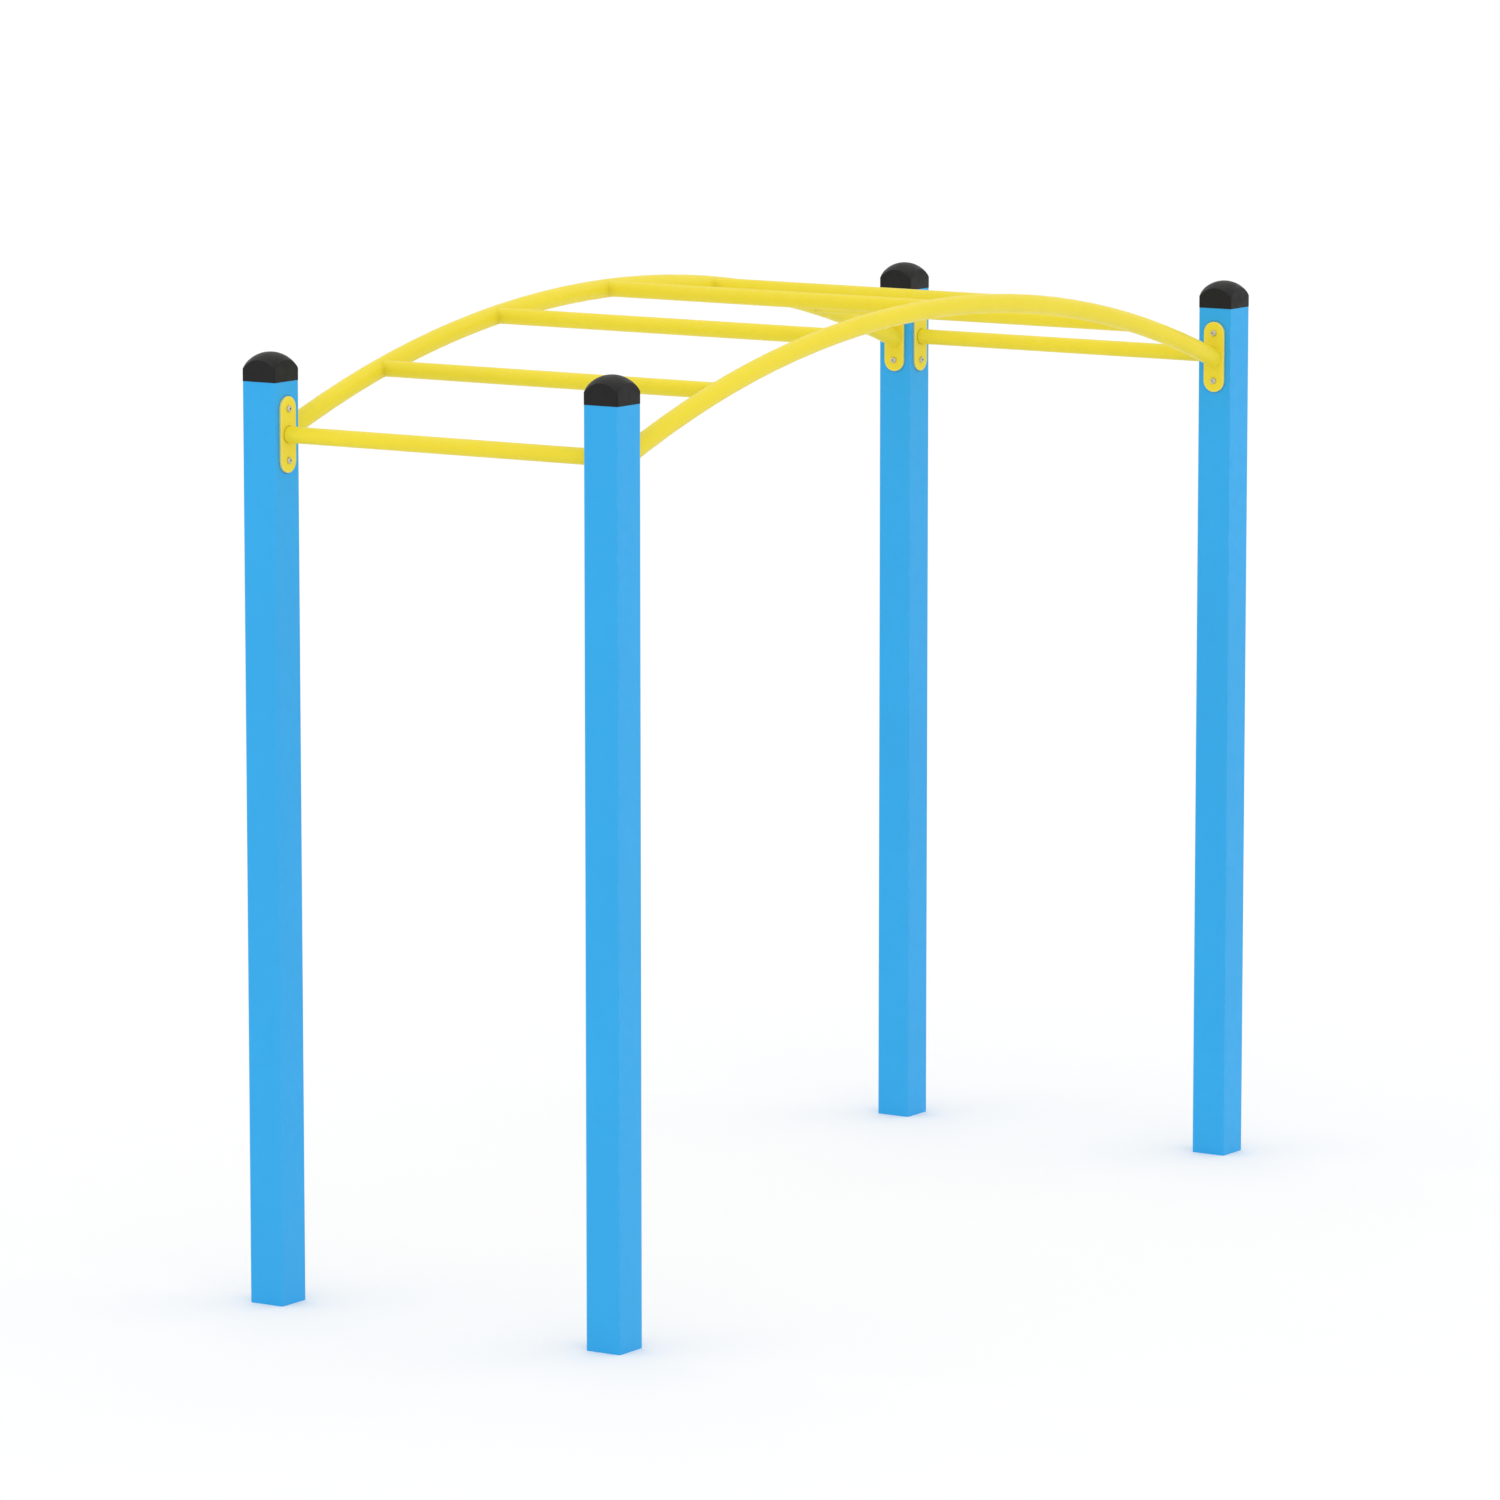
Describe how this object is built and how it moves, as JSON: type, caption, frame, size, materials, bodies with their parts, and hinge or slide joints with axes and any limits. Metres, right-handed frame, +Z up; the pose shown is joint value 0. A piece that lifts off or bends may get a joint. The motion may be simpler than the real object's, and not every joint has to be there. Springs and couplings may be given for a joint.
{
  "type": "overhead ladder",
  "caption": "Free-standing arched overhead ladder for a playground: square capped posts, curved side rails, round rungs and straight end bars on bolted flange plates.",
  "frame": {"origin": "on the ground, midway between the four posts", "axes": "+Z up; +X along the ladder, from the front end bar to the back one; +Y towards the left rail"},
  "size_m": [2.496, 0.911, 2.0078],
  "materials": {
    "post_paint": "satin blue powder coat",
    "tube_paint": "satin yellow powder coat",
    "cap_plastic": "fine matt moulded plastic",
    "screw_steel": "stainless steel, slightly dull",
    "nut_steel": "zinc plated"
  },
  "bodies": {
    "root": {"post_front_left": "post_paint", "post_cap_front_left": "cap_plastic", "rail_flange_front_left": "tube_paint", "rail_screws_front_left": "screw_steel", "rail_rivet_nuts_front_left": "nut_steel", "end_bar_flange_front_left": "tube_paint", "end_bar_screws_front_left": "screw_steel", "end_bar_rivet_nuts_front_left": "nut_steel", "post_front_right": "post_paint", "post_cap_front_right": "cap_plastic", "rail_flange_front_right": "tube_paint", "rail_screws_front_right": "screw_steel", "rail_rivet_nuts_front_right": "nut_steel", "end_bar_flange_front_right": "tube_paint", "end_bar_screws_front_right": "screw_steel", "end_bar_rivet_nuts_front_right": "nut_steel", "post_back_left": "post_paint", "post_cap_back_left": "cap_plastic", "rail_flange_back_left": "tube_paint", "rail_screws_back_left": "screw_steel", "rail_rivet_nuts_back_left": "nut_steel", "end_bar_flange_back_left": "tube_paint", "end_bar_screws_back_left": "screw_steel", "end_bar_rivet_nuts_back_left": "nut_steel", "post_back_right": "post_paint", "post_cap_back_right": "cap_plastic", "rail_flange_back_right": "tube_paint", "rail_screws_back_right": "screw_steel", "rail_rivet_nuts_back_right": "nut_steel", "end_bar_flange_back_right": "tube_paint", "end_bar_screws_back_right": "screw_steel", "end_bar_rivet_nuts_back_right": "nut_steel", "arch_rail_left": "tube_paint", "arch_rail_right": "tube_paint", "rung_1": "tube_paint", "rung_2": "tube_paint", "rung_3": "tube_paint", "rung_4": "tube_paint", "rung_5": "tube_paint", "end_bar_front": "tube_paint", "end_bar_back": "tube_paint"}
  },
  "joints": []
}
